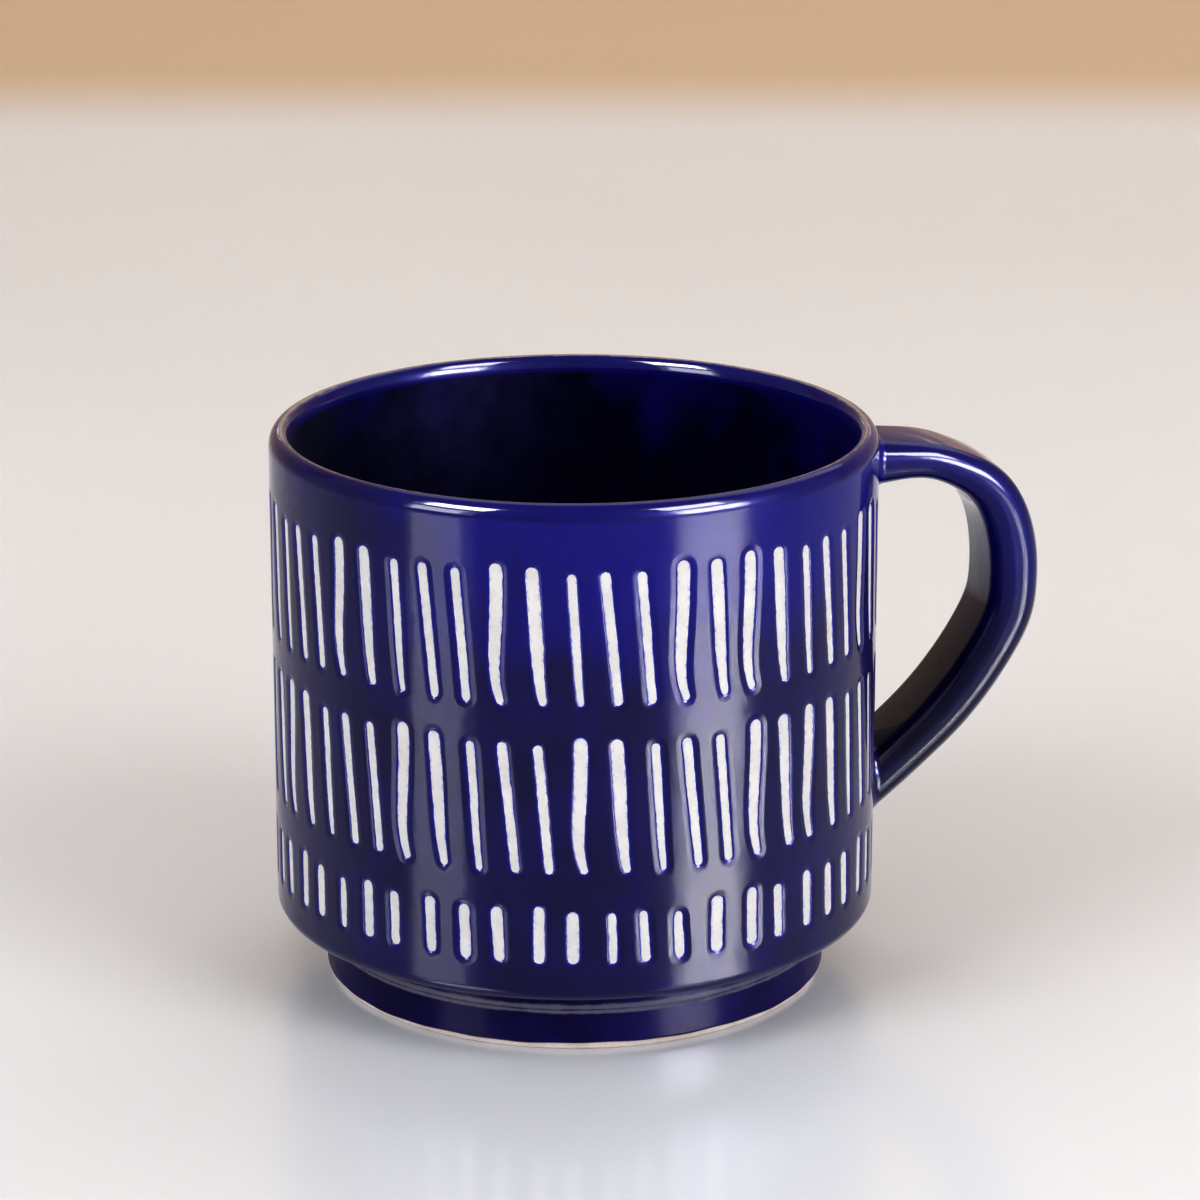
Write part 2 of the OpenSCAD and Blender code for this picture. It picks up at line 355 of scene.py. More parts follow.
def matt(name, pale, deep, blotch, grain, rough, bleed=None):
    """Unglazed clay or slip: chalky, with blotches and grain of the given scales. The colour of bleed, where
    there is one, comes in from the edges."""
    m, tree, shader = material(name)
    colour = mix(tree, drift(tree, blotch, 0, 1, 4, 0.65, reach=0.15), deep, pale)
    speck = ramp(tree, noise(tree, 2 * grain, 2, 0.5), 0.6, 0.8, 0.0, 0.5)
    colour = mix(tree, speck, colour, tuple(0.7 * c for c in deep))
    if bleed:
        edge = maths(tree, "ADD", thinness(tree), drift(tree, 1200, -0.3, 0.3, 3, 0.6))
        colour = mix(tree, ramp(tree, edge, 0.75, 1.25, 0.0, 0.8), colour, bleed)
    tree.links.new(colour, shader.inputs["Base Color"])
    tree.links.new(drift(tree, grain, rough - 0.08, rough + 0.08, 2, 0.5), shader.inputs["Roughness"])
    shader.inputs["Specular IOR Level"].default_value = 0.08
    normal = bump(tree, noise(tree, grain, 4, 0.7), 0.35, 0.00008)
    tree.links.new(normal, shader.inputs["Normal"])
    return m


COBALT = glaze("cobalt_glaze")
# the handle's glaze: the same cobalt made darker, painted shade on the strap
HANDLE_SHADED = glaze("handle_cobalt_shaded", deep=(0.003, 0.001, 0.034), dark=(0.002, 0.001, 0.018),
               top=(0.005, 0.003, 0.120))
# the inside's glaze: the same cobalt, near black below and blue only near the lip, painted shade down in the
# cup
INSIDE_SHADED = glaze("inside_cobalt_shaded", deep=(0.002, 0.0015, 0.020), dark=(0.001, 0.001, 0.012),
               top=(0.005, 0.002, 0.100), rise=(0.074, 0.087))
# the lip's glaze: the tan break along its crest is the glaze's own; its upper colour, darker than the wall's,
# is painted shade
LIP = glaze("lip_break", top=(0.006, 0.003, 0.130), thin_colour=(0.29, 0.23, 0.20), break_at=(0.4, 1.0))
FOOT = glaze("foot_glaze", deep=(0.008, 0.004, 0.085), thin_colour=(0.17, 0.16, 0.22), break_at=(0.35, 1.0),
             dusty=True)
SLIP = matt("white_slip", (0.66, 0.645, 0.635), (0.60, 0.585, 0.575), 260, 1500, 0.62,
            bleed=(0.26, 0.28, 0.60))
CLAY = matt("bare_clay", (0.80, 0.70, 0.66), (0.68, 0.59, 0.55), 180, 900, 0.85)

# ---------------------------------------------------------------- strokes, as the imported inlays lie

LEVELS = 11                     # heights at which a stroke's width is read
END = 0.9                       # length left out at either end, where the stroke is rounded
LONG = 12                       # strokes longer than this bend; shorter ones are straight


def pieces_of(points, edges):
    """A label for each vertex, the same for all that hang together. Vertices at one place count as one."""
    _, same = np.unique(np.round(points, 3), axis=0, return_inverse=True)
    same = same.reshape(-1)
    ends = same[edges]
    label = np.arange(same.max() + 1)
    while True:
        low = np.minimum(label[ends[:, 0]], label[ends[:, 1]])
        new = label.copy()
        np.minimum.at(new, ends[:, 0], low)
        np.minimum.at(new, ends[:, 1], low)
        new = new[new]
        if (new == label).all():
            return label[same]
        label = new


def strokes_of(node):
    """Each inlay of a node: where it lies round the wall (u), and its middle and its half width as smooth
    functions of height."""
    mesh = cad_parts[node].data
    points = np.zeros(len(mesh.vertices) * 3)
    mesh.vertices.foreach_get("co", points)
    points = points.reshape(-1, 3) / MM
    edges = np.zeros(len(mesh.edges) * 2, int)
    mesh.edges.foreach_get("vertices", edges)
    edges = edges.reshape(-1, 2)
    label = pieces_of(points, edges)
    angle = np.arctan2(points[:, 1], points[:, 0])
    outer = (np.hypot(points[:, 0], points[:, 1])[edges] > INLAY_R - 0.1).all(1)    # edges of the outer faces
    found = []
    for piece in np.unique(label):
        inlay = points[label == piece]
        face_edges = edges[outer & (label[edges[:, 0]] == piece)]
        centre = math.atan2(inlay[:, 1].mean(), inlay[:, 0].mean())
        turn = (angle - centre + math.pi) % (2 * math.pi) - math.pi
        low, high = inlay[:, 2].min(), inlay[:, 2].max()
        heights = np.linspace(low + END, high - END, LEVELS)
        a, b = points[face_edges[:, 0], 2], points[face_edges[:, 1], 2]
        middles, halves = [], []
        for z in heights:
            cross = (a - z) * (b - z) < 0
            t = (z - a[cross]) / (b[cross] - a[cross])
            at = turn[face_edges[cross, 0]] * (1 - t) + turn[face_edges[cross, 1]] * t
            middles.append((at.max() + at.min()) / 2 * WALL_R)
            halves.append((at.max() - at.min()) / 2 * WALL_R)
        middle_degree, half_degree = (4, 3) if high - low > LONG else (1, 1)
        found.append({
            "u": (centre % (2 * math.pi)) * WALL_R, "low": low, "high": high,
            "middle": np.polynomial.Polynomial.fit(heights, middles, middle_degree),
            "half": np.polynomial.Polynomial.fit(heights, halves, half_degree),
        })
    return sorted(found, key=lambda s: s["u"])


NICKS, NICK_DEPTH = 0.03, 1.5    # the share of an edge's points that are nicked, and how deep


def ragged(rng, count, size):
    """A wandering edge, as a loop of count values: slow waves, a quick jitter and now and then a nick."""
    slow = np.zeros(count)
    for k in range(2, 8):
        slow += rng.normal(0, 1) / k * np.sin(2 * math.pi * (k * np.arange(count) / count + rng.random()))
    quick = rng.normal(0, 1, count)
    quick = (quick + np.roll(quick, 1)) / 2
    nick = np.where(rng.random(count) < NICKS, -NICK_DEPTH, 0)
    return size * (slow + quick + nick)


STEP = 0.46                     # spacing along a stroke's edge
THINNEST = 0.3                  # least half width of a stroke
RAGGED = 0.035                  # how much its edge wanders
RINGS = [0.0, 0.12, 0.35, 0.65, 0.95, 1.15]     # distances from the edge, out over the glaze's shoulder
SLOPES = [0.75, 0.45, 0.20, 0.15, 0.10, 0.0]    # how steeply the glaze falls at each
DROPS = [sum((SLOPES[i] + SLOPES[i + 1]) / 2 * (RINGS[i + 1] - RINGS[i]) for i in range(k, len(RINGS) - 1))
         for k in range(len(RINGS))]
SINK = DROPS[0]                 # how deep the glaze dips round a stroke


def outline(stroke, rng):
    """The stroke's edge as a smooth loop of points (u, z): right side, top, left side, low end. With it come
    outward normals and how far the edge wanders along them. u is counted from the stroke's own place."""
    low_r = float(stroke["half"](stroke["low"] + END))
    high_r = float(stroke["half"](stroke["high"] - END))
    low, high = stroke["low"] + low_r, stroke["high"] - high_r
    side = np.linspace(low, high, max(6, int((high - low) / STEP)) + 1)
    mid, half = stroke["middle"](side), np.maximum(stroke["half"](side), THINNEST)
    right = np.stack([mid + half, side], 1)
    left = np.stack([mid - half, side], 1)[::-1]
    top_n = max(4, int(math.pi * high_r / STEP))
    low_n = max(4, int(math.pi * low_r / STEP))
    t = np.linspace(0, math.pi, top_n + 1)[1:-1]
    top = np.stack([mid[-1] + half[-1] * np.cos(t), high + half[-1] * np.sin(t)], 1)
    t = np.linspace(math.pi, 2 * math.pi, low_n + 1)[1:-1]
    bottom = np.stack([mid[0] + half[0] * np.cos(t), low + half[0] * np.sin(t)], 1)
    loop = np.concatenate([right, top, left, bottom])
    tangent = np.roll(loop, -1, 0) - np.roll(loop, 1, 0)
    normal = np.stack([tangent[:, 1], -tangent[:, 0]], 1)
    normal /= np.linalg.norm(normal, axis=1, keepdims=True)
    return {"smooth": loop, "normal": normal, "wander": ragged(rng, len(loop), RAGGED), "u": stroke["u"],
            "n_side": len(side), "n_top": len(top), "n_low": len(bottom)}


rng = np.random.RandomState(7)
ROWS = {row: [outline(stroke, rng) for stroke in strokes_of(row)]
        for row in ("upper_strokes", "middle_strokes", "lower_strokes")}
ALL = [o for row in ROWS.values() for o in row]
FAR = 12                        # strokes further apart than this can't touch
APART = 0.08                    # left between two shoulders, from the line midway between them

# how much of its full width each stroke's shoulder may have before it meets a neighbour's
for o in ALL:
    mine = o["smooth"] + [o["u"], 0]
    nearest = FAR
    for other in ALL:
        if other is not o and abs(other["u"] - o["u"]) <= FAR:
            theirs = other["smooth"] + [other["u"], 0]
            nearest = min(nearest, np.sqrt(((mine[:, None] - theirs[None]) ** 2).sum(2)).min())
    o["reach"] = min(1.0, (nearest / 2 - APART) / RINGS[-1])


def on_wall(u, z, depth):
    """Points of the unrolled wall on the cup, some way in from its surface."""
    r = WALL_R - depth
    a = u / WALL_R
    return np.stack([r * np.cos(a), r * np.sin(a), np.broadcast_to(z, np.shape(a))], 1)


def across_wall(u, direction):
    """A direction (u, z) in the unrolled wall, as a vector on the cup."""
    a = u / WALL_R
    return np.stack([-direction[:, 0] * np.sin(a), direction[:, 0] * np.cos(a), direction[:, 1]], 1)


def wall_normal(u, tilt_u, tilt_z):
    """Outward normal of the wall tipped towards (tilt_u, tilt_z)."""
    a = u / WALL_R
    n = np.stack([np.cos(a) - tilt_u * np.sin(a), np.sin(a) + tilt_u * np.cos(a),
                  np.broadcast_to(tilt_z, np.shape(a))], 1)
    return n / np.linalg.norm(n, axis=1, keepdims=True)


def ring_points(o, k):
    """The k-th ring round a stroke. The further out, the less it wanders."""
    offset = RINGS[k] * o["reach"]
    fade = (1 - RINGS[k] / RINGS[-1]) ** 2
    return o["smooth"] + [o["u"], 0] + o["normal"] * (offset + o["wander"] * fade)[:, None]


SHEET_LOW = LEDGE_Z + CORNER    # the unrolled wall ends where its bottom corner begins to turn
CLEAR = 0.45                    # no point of the sheet's grid lies closer than this to a stroke's ring
SAME = 1e-4                     # closer than this, two heights or places on the sheet are one


def inside_loop(p, loop):
    """Which points lie inside a loop: those with an odd number of its sides to their right."""
    inside = np.zeros(len(p), bool)
    for (ax, ay), (bx, by) in zip(loop, np.roll(loop, -1, 0)):
        hit = (ay > p[:, 1]) != (by > p[:, 1])
        if hit.any():
            inside[hit] ^= p[hit, 0] < (bx - ax) * (p[hit, 1] - ay) / (by - ay) + ax
    return inside


def cut_sheet(loops, step_z):
    """Triangles of the unrolled wall outside the loops, from the wall's bottom row to its top row."""
    around = 2 * math.pi * WALL_R
    low, high = SHEET_LOW, LIP_Z
    rows = np.linspace(low, high, int((high - low) / step_z) + 1)
    grid = np.array([(u, z) for z in rows for u in np.linspace(0, around, TURN + 1)])
    keep = np.ones(len(grid), bool)
    for loop in loops:
        near = np.where(((grid > loop.min(0) - 0.5) & (grid < loop.max(0) + 0.5)).all(1))[0]
        p = grid[near]
        close = np.sqrt(((p[:, None] - loop[None]) ** 2).sum(2)).min(1) < CLEAR
        keep[near[inside_loop(p, loop) | close]] = False
    border = (np.isclose(grid[:, 0], 0) | np.isclose(grid[:, 0], around)
              | np.isclose(grid[:, 1], low) | np.isclose(grid[:, 1], high))
    grid = grid[keep | border]
    starts = np.cumsum([0] + [len(loop) for loop in loops])
    holes = [list(range(a, b)) for a, b in zip(starts[:-1], starts[1:])]
    points = [Vector(p) for p in np.concatenate(list(loops) + [grid])]
    verts, _, tris, _, _, owner = delaunay_2d_cdt(points, [], holes, 0, 1e-6, True)
    verts = np.array([tuple(v) for v in verts])
    # the sheet's left and right ends are one line
    start_of = {}
    weld = np.arange(len(verts))
    for i in np.where(np.isclose(verts[:, 0], 0, atol=SAME))[0]:
        start_of[round(verts[i, 1], 3)] = i
    for i in np.where(np.isclose(verts[:, 0], around, atol=SAME))[0]:
        weld[i] = start_of[round(verts[i, 1], 3)]
    return verts, weld[np.array([t for t, hole in zip(tris, owner) if len(t) == 3 and not hole])]


def wall_sheet(build, loops, numbers, depth, step_z, side):
    """The wall between the strokes, outside (side 1) or inside (side -1), sewn to the rings' vertex numbers.
    Returns its bottom and its top row."""
    verts, tris = cut_sheet(loops, step_z)
    known = {tuple(np.round(p, 4)): n for p, n in zip(np.concatenate(loops), np.concatenate(numbers))}
    new = np.array([known.get(tuple(np.round(v, 4)), -1) for v in verts])
    added = np.where(new < 0)[0]
    new[added] = build.add(on_wall(verts[added, 0], verts[added, 1], depth))
    normals = side * wall_normal(verts[:, 0], 0, 0)
    build.face(new[tris], normals[tris])
    used = np.unique(tris)
    rows = []
    for level in (SHEET_LOW, LIP_Z):
        row = used[np.abs(verts[used, 1] - level) < SAME]
        rows.append(new[row[np.argsort(verts[row, 0])]])
    return rows


def wall_corner(build, row, depth, side):
    """The wall's bottom corner, from the sheet's bottom row down to the ledge. Returns its last row."""
    angles = np.arange(TURN) * 2 * math.pi / TURN
    cos, sin, none = np.cos(angles), np.sin(angles), np.zeros(TURN)
    normal = np.stack([cos, sin, none], 1) * side
    steps, radius = 8, CORNER - depth
    for k in range(1, steps + 1):
        t = math.radians(90 * k / steps)
        r, z = WALL_R - CORNER + radius * math.cos(t), SHEET_LOW - radius * math.sin(t)
        new = build.add(np.stack([r * cos, r * sin, none + z], 1))
        new_normal = np.stack([cos * math.cos(t), sin * math.cos(t), none - math.sin(t)], 1) * side
        build.strip(row, new, normal, new_normal)
        row, normal = new, new_normal
    return row


THIN_EDGE = 0.6                 # the glaze counts as thin as far as this from a stroke's edge
FINE_ROWS, COARSE_ROWS = 2.8, 8.0    # spacing of the sheet's rows outside, and inside where it is hidden


def glazed_wall():
    """The outside glaze: it slopes down in rings to each stroke's edge and is cut through there."""
    build = Build()
    last = len(RINGS) - 1
    for o in ALL:
        rings = []
        for k in range(last + 1):
            p, tilt = ring_points(o, k), -o["normal"] * SLOPES[k]
            rings.append((build.add(on_wall(p[:, 0], p[:, 1], DROPS[k]), max(0, 1 - RINGS[k] / THIN_EDGE)),
                          wall_normal(p[:, 0], tilt[:, 0], tilt[:, 1])))
        for (a, na), (b, nb) in zip(rings[:-1], rings[1:]):
            build.strip(a, b, na, nb)
        p = ring_points(o, 0)
        o["outer"] = rings[-1][0]
        o["floor"] = build.add(on_wall(p[:, 0], p[:, 1], GLAZE_T), 1.0)
        into = across_wall(p[:, 0], -o["normal"])
        build.strip(rings[0][0], o["floor"], into, into)

    outer_low, outer_high = wall_sheet(build, [ring_points(o, last) for o in ALL], [o["outer"] for o in ALL],
                                       0.0, FINE_ROWS, 1.0)
    inner_low, inner_high = wall_sheet(build, [ring_points(o, 0) for o in ALL], [o["floor"] for o in ALL],
                                       GLAZE_T, COARSE_ROWS, -1.0)
    outer_end = wall_corner(build, outer_low, 0.0, 1.0)
    inner_end = wall_corner(build, inner_low, GLAZE_T, -1.0)
    angles = np.arange(TURN) * 2 * math.pi / TURN
    inward = np.stack([-np.cos(angles), -np.sin(angles), 0 * angles], 1)
    build.strip(outer_end, inner_end, inward, inward)
    up = np.tile([0, 0, 1.0], (TURN, 1))
    build.strip(outer_high, inner_high, up, up)
    return to_object(build, "wall_glaze", [COBALT], ["outside_glaze"])


TUCK = 0.03                     # how far an inlay runs in under the glaze
EDGE_UP, MIDDLE_UP = 0.01, 0.05    # how far its edge and its middle stand above the dip in the glaze


def slip_row(row):
    """White inlays: each a closed solid, highest along its middle line, whose edge runs under the glaze."""
    build = Build()
    for o in ROWS[row]:
        edge = o["smooth"] + o["normal"] * (o["wander"] + TUCK)[:, None]
        edge[:, 0] += o["u"]
        n, top, low = o["n_side"], o["n_top"], o["n_low"]
        # the middle line runs from the low end's tip to the high end's tip
        right, left = np.arange(n), np.arange(n + top, 2 * n + top)[::-1]
        middle = (edge[right] + edge[left]) / 2
        high_end = np.arange(n - 1, n + top + 1)
        low_end = np.append(np.arange(2 * n + top - 1, 2 * n + top + low), 0)

        def skin(edge_depth, middle_depth, side):
            """The inlay's face (side 1) or its back (side -1)."""
            rim = build.add(on_wall(edge[:, 0], edge[:, 1], edge_depth), 1.0)
            spine = build.add(on_wall(middle[:, 0], middle[:, 1], middle_depth), 0.0)
            rim_n = side * wall_normal(edge[:, 0], 0, 0)
            spine_n = side * wall_normal(middle[:, 0], 0, 0)
            build.strip(rim[right], spine, rim_n[right], spine_n, closed=False)
            build.strip(spine, rim[left], spine_n, rim_n[left], closed=False)
            for tip, end in ((n - 1, high_end), (0, low_end)):
                build.fan(spine[tip], rim[end], np.tile(spine_n[tip], (len(end), 1)), rim_n[end])
            return rim

        face = skin(SINK - EDGE_UP, SINK - MIDDLE_UP, 1)
        back = skin(GLAZE_T, GLAZE_T, -1)
        out = across_wall(edge[:, 0], o["normal"])
        build.strip(face, back, out, out)
    return to_object(build, row.replace("_strokes", "_slip"), [SLIP], [row])


glazed_wall()
for row in ROWS:
    slip_row(row)

# ---------------------------------------------------------------- turned pieces

LIP_OUT, LIP_IN = 1.7, 1.25     # how far the lip's rounding reaches in from its outside and its inside
LIP_DROP = 2.3                  # how far down the inside rounding begins
LIP_FALL = MUG_H - LIP_Z        # and the outside rounding
CREST_R = INNER_R + LIP_IN + 0.1    # where the lip is highest and its glaze thinnest
CREST_HALF = 0.7                # half the width over which it is thin


def lip_thin(r, z, a):
    """The glaze is thin along the crest, unevenly, and less so at the front (-Y), which is painted shade."""
    uneven = 1.1 + 0.12 * np.sin(5 * a + 1.0) + 0.08 * np.sin(13 * a)
    # painted shade: the break fades towards the front (-Y)
    front = 0.65 * np.clip(-np.sin(a + 0.25), 0, 1)
    return np.clip(uneven - front - np.abs(r - CREST_R) / CREST_HALF, 0, 1) * (z > MUG_H - 0.9)


turned("lip_rim", [
    line(INNER_R, LIP_Z, INNER_R, MUG_H - LIP_DROP, -1, 0, 3),
    arc(INNER_R + LIP_IN, MUG_H - LIP_DROP, LIP_IN, LIP_DROP, 180, 90, 14),
    line(INNER_R + LIP_IN, MUG_H, WALL_R - LIP_OUT, MUG_H, 0, 1, 3),
    arc(WALL_R - LIP_OUT, LIP_Z, LIP_OUT, LIP_FALL, 90, 0, 24),
    line(WALL_R, LIP_Z, CLAY_R, LIP_Z, 0, -1),
    line(CLAY_R, LIP_Z, INNER_R, LIP_Z, 0, -1),
], [LIP], ["lip_glaze"], thin=lip_thin)

BEND_R, BEND_Z = INNER_R - FLOOR_ROUND, FLOOR_Z + FLOOR_ROUND    # middle of the inside floor's rounding
BEND_UNDER = FLOOR_ROUND + GLAZE_T
LINER_R, LINER_Z = INNER_R + GLAZE_T, FLOOR_Z - GLAZE_T          # where the liner glaze meets the clay

turned("liner_glaze", [
    line(INNER_R, LIP_Z, INNER_R, BEND_Z, -1, 0, 12),
    hollow(arc(BEND_R, BEND_Z, FLOOR_ROUND, FLOOR_ROUND, 0, -90, 32)),
    line(BEND_R, FLOOR_Z, 0, FLOOR_Z, 0, 1, 4),
    line(0, FLOOR_Z, 0, LINER_Z, -1, 0),
    line(0, LINER_Z, BEND_R, LINER_Z, 0, -1, 4),
    arc(BEND_R, BEND_Z, BEND_UNDER, BEND_UNDER, -90, 0, 24),
    line(LINER_R, BEND_Z, LINER_R, LIP_Z, 1, 0, 4),
    line(LINER_R, LIP_Z, INNER_R, LIP_Z, 0, 1),
], [INSIDE_SHADED], ["inside_glaze"])

LEDGE_R = WALL_R - CORNER
LEDGE_UP = LEDGE_Z + GLAZE_T
BEAD_R, BEAD_Z = FOOT_R + 0.35, 6.45     # a worn bead at the top of the foot: its outside, and its lower edge
NECK = 0.6                      # rounding between the bead and the ledge
TUCK_Z = 5.8                    # where the bead has run in to the foot
DUST_LOW, DUST_HIGH = 6.0, 6.8  # heights of the two lines of dust
GLAZE_END = 0.5                 # rounding of the glaze's lower edge
GLAZE_LOW = 0.05                # how far that edge hangs below the place where the part's source ends it
CORE_FOOT = FOOT_R - GLAZE_T    # the clay's side of the glaze on the foot


def foot_shift(r, z, a):
    """The glaze's lower edge wanders a little round the foot."""
    wave = 0.10 * np.sin(3 * a + 0.4) + 0.06 * np.sin(11 * a + 2) + 0.04 * np.sin(29 * a)
    return r, z + np.where(z < BARE_H + GLAZE_END + 0.05, wave - GLAZE_LOW, 0)


def foot_thin(r, z, a):
    """Dust and wear lie in two lines along the bead, and more faintly between them."""
    low = np.clip(1.3 - np.abs(z - DUST_LOW) / 0.3, 0, 1)
    high = np.clip(1.3 - np.abs(z - DUST_HIGH) / 0.35, 0, 1)
    between = 0.42 * ((z > DUST_LOW - 0.3) & (z < DUST_HIGH + 0.7))
    return np.clip(np.maximum(low, high) * (0.75 + 0.2 * np.sin(7 * a)) + between, 0, 1)


turned("foot_ring_glaze", [
    line(LEDGE_R, LEDGE_Z, BEAD_R + NECK, LEDGE_Z, 0, -1, 4),
    hollow(arc(BEAD_R + NECK, LEDGE_Z - NECK, NECK, NECK, 90, 180, 6)),
    line(BEAD_R, LEDGE_Z - NECK, BEAD_R, BEAD_Z, 1, 0, 16),
    arc(FOOT_R, BEAD_Z, BEAD_R - FOOT_R, 0.25, 0, -60, 4),
    line((FOOT_R + BEAD_R) / 2, BEAD_Z - 0.215, FOOT_R, TUCK_Z, 1, -0.5, 2),
    line(FOOT_R, TUCK_Z, FOOT_R, BARE_H + GLAZE_END, 1, 0, 10),
    arc(FOOT_R - GLAZE_END, BARE_H + GLAZE_END, GLAZE_END, GLAZE_END, 0, -90, 6),
    line(FOOT_R - GLAZE_END, BARE_H, CORE_FOOT, BARE_H, 0, -1),
    line(CORE_FOOT, BARE_H, CORE_FOOT, LEDGE_UP, -1, 0, 6),
    line(CORE_FOOT, LEDGE_UP, LEDGE_R, LEDGE_UP, 0, 1, 4),
    line(LEDGE_R, LEDGE_UP, LEDGE_R, LEDGE_Z, 1, 0),
], [FOOT], ["foot_glaze"], shift=foot_shift, thin=foot_thin)

CORE_RECESS, CORE_ROOF = RECESS_R + GLAZE_T, RECESS_H + GLAZE_T    # the clay under the hollow's glaze
DOME_R, DOME_Z = RECESS_R - RECESS_ROUND, RECESS_H - RECESS_ROUND    # middle of the hollow's rounding
DOME_OVER = RECESS_ROUND + GLAZE_T

turned("recess_glaze", [
    line(0, RECESS_H, DOME_R, RECESS_H, 0, -1, 5),
    hollow(arc(DOME_R, DOME_Z, RECESS_ROUND, RECESS_ROUND, 90, 0, 10)),
    line(RECESS_R, DOME_Z, RECESS_R, BARE_H, -1, 0, 2),
    line(RECESS_R, BARE_H, CORE_RECESS, BARE_H, 0, -1),
    line(CORE_RECESS, BARE_H, CORE_RECESS, DOME_Z, 1, 0, 2),
    arc(DOME_R, DOME_Z, DOME_OVER, DOME_OVER, 0, 90, 10),
    line(DOME_R, CORE_ROOF, 0, CORE_ROOF, 0, 1, 5),
    line(0, CORE_ROOF, 0, RECESS_H, 1, 0),
], [COBALT], ["base_glaze"])

CORE_LIP = MUG_H - GLAZE_T      # top of the clay wall
CHAMFER = 0.2                   # at its inside edge

turned("clay_core", [
    line(0, CORE_ROOF, CORE_RECESS - 2, CORE_ROOF, 0, -1, 3),
    line(CORE_RECESS - 2, CORE_ROOF, CORE_RECESS, RECESS_H - 1.5, -1, -1),
    line(CORE_RECESS, RECESS_H - 1.5, CORE_RECESS, FOOT_EDGE, -1, 0, 2),
    arc(CORE_RECESS + FOOT_EDGE, FOOT_EDGE, FOOT_EDGE, FOOT_EDGE, 180, 270, 6),
    line(CORE_RECESS + FOOT_EDGE, 0, CORE_FOOT - FOOT_EDGE, 0, 0, -1, 3),
    arc(CORE_FOOT - FOOT_EDGE, FOOT_EDGE, FOOT_EDGE, FOOT_EDGE, -90, 0, 6),
    line(CORE_FOOT, FOOT_EDGE, CORE_FOOT, LEDGE_UP, 1, 0, 5),
    line(CORE_FOOT, LEDGE_UP, LEDGE_R, LEDGE_UP, 0, -1),
    arc(LEDGE_R, LEDGE_Z + CORNER, CORNER - GLAZE_T, CORNER - GLAZE_T, -90, 0, 6),
    line(CLAY_R, LEDGE_Z + CORNER, CLAY_R, LIP_Z, 1, 0, 3),
    arc(WALL_R - LIP_OUT, LIP_Z, LIP_OUT - GLAZE_T, LIP_FALL - GLAZE_T, 0, 90, 6),
    line(WALL_R - LIP_OUT, CORE_LIP, LINER_R + CHAMFER, CORE_LIP, 0, 1),
    line(LINER_R + CHAMFER, CORE_LIP, LINER_R, CORE_LIP - CHAMFER, -1, 1),
    line(LINER_R, CORE_LIP - CHAMFER, LINER_R, BEND_Z, -1, 0, 3),
    hollow(arc(BEND_R, BEND_Z, BEND_UNDER, BEND_UNDER, 0, -90, 16)),
    line(BEND_R, LINER_Z, 0, LINER_Z, 0, 1, 3),
    line(0, LINER_Z, 0, CORE_ROOF, 1, 0),
], [CLAY], ["cup_body"])

# ---------------------------------------------------------------- handle

# The strap from its top root down to its lower one: its middle's distance from the axis and height, its
# thickness and its half width
COURSE = [
    (40.5, 74.6, 7.4, 7.0), (44.5, 74.6, 6.4, 7.0), (49.0, 74.7, 5.2, 7.0), (53.5, 74.3, 4.9, 7.0),
    (58.2, 72.3, 5.3, 7.1), (60.9, 70.5, 5.9, 7.2), (63.1, 68.0, 6.4, 7.3), (64.8, 64.2, 6.8, 7.4),
    (65.7, 59.5, 7.0, 7.5), (65.8, 55.0, 7.0, 7.5), (65.3, 50.5, 7.0, 7.5), (62.9, 45.6, 6.9, 7.5),
    (59.6, 40.5, 6.8, 7.5), (55.6, 35.6, 6.7, 7.5), (51.6, 31.8, 6.5, 7.5), (47.4, 28.1, 6.5, 7.5),
    (44.2, 25.6, 6.7, 7.5), (40.5, 22.7, 6.9, 7.5),
]
STRAP_EDGE = 3.0                # rounding of the strap's edges
CROWN = 0.3                     # how far its broad faces swell in the middle
SECTION_STEPS = 8               # points along each side and each corner of its section
COURSE_STEPS, ROUNDS = 10, 30    # points between two of the course's, and rounds of smoothing them
ROOT_R = WALL_R - 0.3           # the strap and its collars end just inside the wall's surface
UPPER, LOWER = 1, -1            # the strap's ends: its lines are read forwards or backwards from there


def spline(points, per_span):
    """A smooth curve through the points (Catmull-Rom)."""
    p = np.array(points, float)
    p = np.concatenate([[2 * p[0] - p[1]], p, [2 * p[-1] - p[-2]]])
    out = []
    for i in range(1, len(p) - 2):
        for t in np.arange(per_span) / per_span:
            out.append(0.5 * (2 * p[i] + (p[i + 1] - p[i - 1]) * t
                              + (2 * p[i - 1] - 5 * p[i] + 4 * p[i + 1] - p[i + 2]) * t * t
                              + (3 * p[i] - p[i - 1] - 3 * p[i + 1] + p[i + 2]) * t ** 3))
    out.append(p[-2])
    return np.array(out)


def smoothed(values, rounds):
    """Each value drawn towards its neighbours; the ends stay."""
    v = values.copy()
    for _ in range(rounds):
        v[1:-1] = (v[:-2] + 2 * v[1:-1] + v[2:]) / 4
    return v


